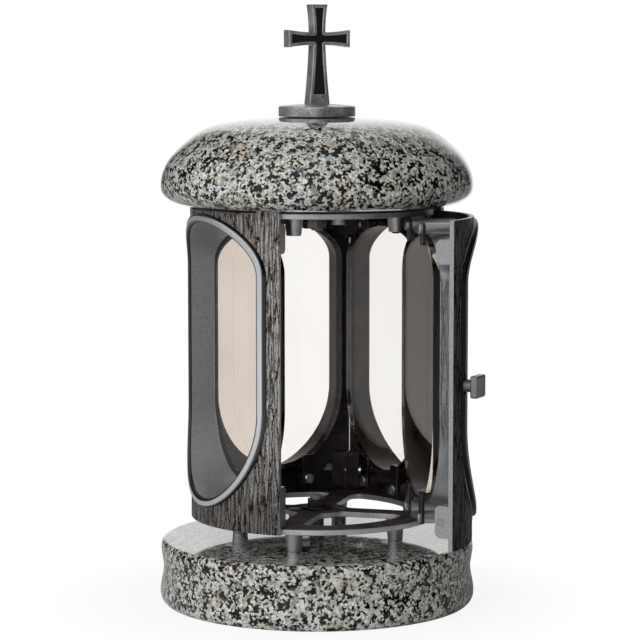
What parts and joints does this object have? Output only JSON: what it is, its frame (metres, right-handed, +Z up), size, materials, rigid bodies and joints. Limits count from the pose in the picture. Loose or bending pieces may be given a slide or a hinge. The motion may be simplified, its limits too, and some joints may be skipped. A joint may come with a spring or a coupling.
{
  "type": "grave lantern",
  "caption": "Grave lantern: granite foot and domed granite lid round a cage of curved cast panels with smoked window panes, a side-hung door and a cross.",
  "frame": {"origin": "centre of the granite foot's underside, on the axis of the body", "axes": "+Z up through the cross, -Y toward the viewer of the picture, +X to that viewer's right"},
  "size_m": [0.1374, 0.1567, 0.2594],
  "materials": {
    "granite_foot": "polished speckled granite",
    "granite_lid": "polished speckled granite",
    "bottom_plate": "cast aluminium, rough, grey",
    "top_plate": "cast aluminium, rough, grey",
    "left_panel": "cast aluminium, bark texture, antique silver",
    "back_left_panel": "cast aluminium, bark texture, antique silver",
    "back_right_panel": "cast aluminium, bark texture, antique silver",
    "door_panel": "cast aluminium, bark texture, antique silver",
    "left_pane": "smoked, clear",
    "back_left_pane": "smoked, clear",
    "back_right_pane": "smoked, clear",
    "door_pane": "smoked, clear",
    "pane_clips": "zinc plated",
    "pane_clip_screws": "zinc plated",
    "door_clips": "zinc plated",
    "door_clip_screws": "zinc plated",
    "panel_joint_screws": "zinc plated",
    "panel_joint_nuts": "zinc plated",
    "bottom_plate_screws": "zinc plated",
    "top_plate_screws": "zinc plated",
    "frame_magnet": "zinc plated",
    "door_magnet": "zinc plated",
    "lid_tie_rod": "zinc plated",
    "lid_washer": "zinc plated",
    "lid_nut": "zinc plated",
    "lid_gasket": "black",
    "anchor_stud": "zinc plated",
    "anchor_washer": "zinc plated",
    "anchor_nut": "zinc plated",
    "foot_side_studs": "zinc plated",
    "cross_disc": "cast aluminium, rough, grey",
    "cross": "cast aluminium, rough, grey",
    "cross_inlay": "black enamel",
    "door_knob": "cast aluminium, rough, grey",
    "knob_screw": "zinc plated",
    "lower_hinge_pin": "zinc plated",
    "upper_hinge_pin": "zinc plated",
    "lower_hinge_bush": "clear moulded",
    "upper_hinge_bush": "clear moulded"
  },
  "bodies": {
    "lantern_body": {"granite_foot": "granite_foot", "granite_lid": "granite_lid", "bottom_plate": "bottom_plate", "top_plate": "top_plate", "left_panel": "left_panel", "back_left_panel": "back_left_panel", "back_right_panel": "back_right_panel", "left_pane": "left_pane", "back_left_pane": "back_left_pane", "back_right_pane": "back_right_pane", "pane_clips": "pane_clips", "pane_clip_screws": "pane_clip_screws", "panel_joint_screws": "panel_joint_screws", "panel_joint_nuts": "panel_joint_nuts", "bottom_plate_screws": "bottom_plate_screws", "top_plate_screws": "top_plate_screws", "frame_magnet": "frame_magnet", "lid_tie_rod": "lid_tie_rod", "lid_washer": "lid_washer", "lid_nut": "lid_nut", "lid_gasket": "lid_gasket", "anchor_stud": "anchor_stud", "anchor_washer": "anchor_washer", "anchor_nut": "anchor_nut", "foot_side_studs": "foot_side_studs", "cross_disc": "cross_disc", "cross": "cross", "cross_inlay": "cross_inlay"},
    "door": {"door_panel": "door_panel", "door_pane": "door_pane", "door_clips": "door_clips", "door_clip_screws": "door_clip_screws", "door_magnet": "door_magnet", "door_knob": "door_knob", "knob_screw": "knob_screw", "lower_hinge_pin": "lower_hinge_pin", "upper_hinge_pin": "upper_hinge_pin", "lower_hinge_bush": "lower_hinge_bush", "upper_hinge_bush": "upper_hinge_bush"}
  },
  "joints": [
    {"name": "door_hinge", "type": "hinge", "parent": "lantern_body", "child": "door", "pos_m": [0.0443, -0.02141, 0], "axis": [0, 0, 1], "range_deg": [-71, 25]}
  ]
}
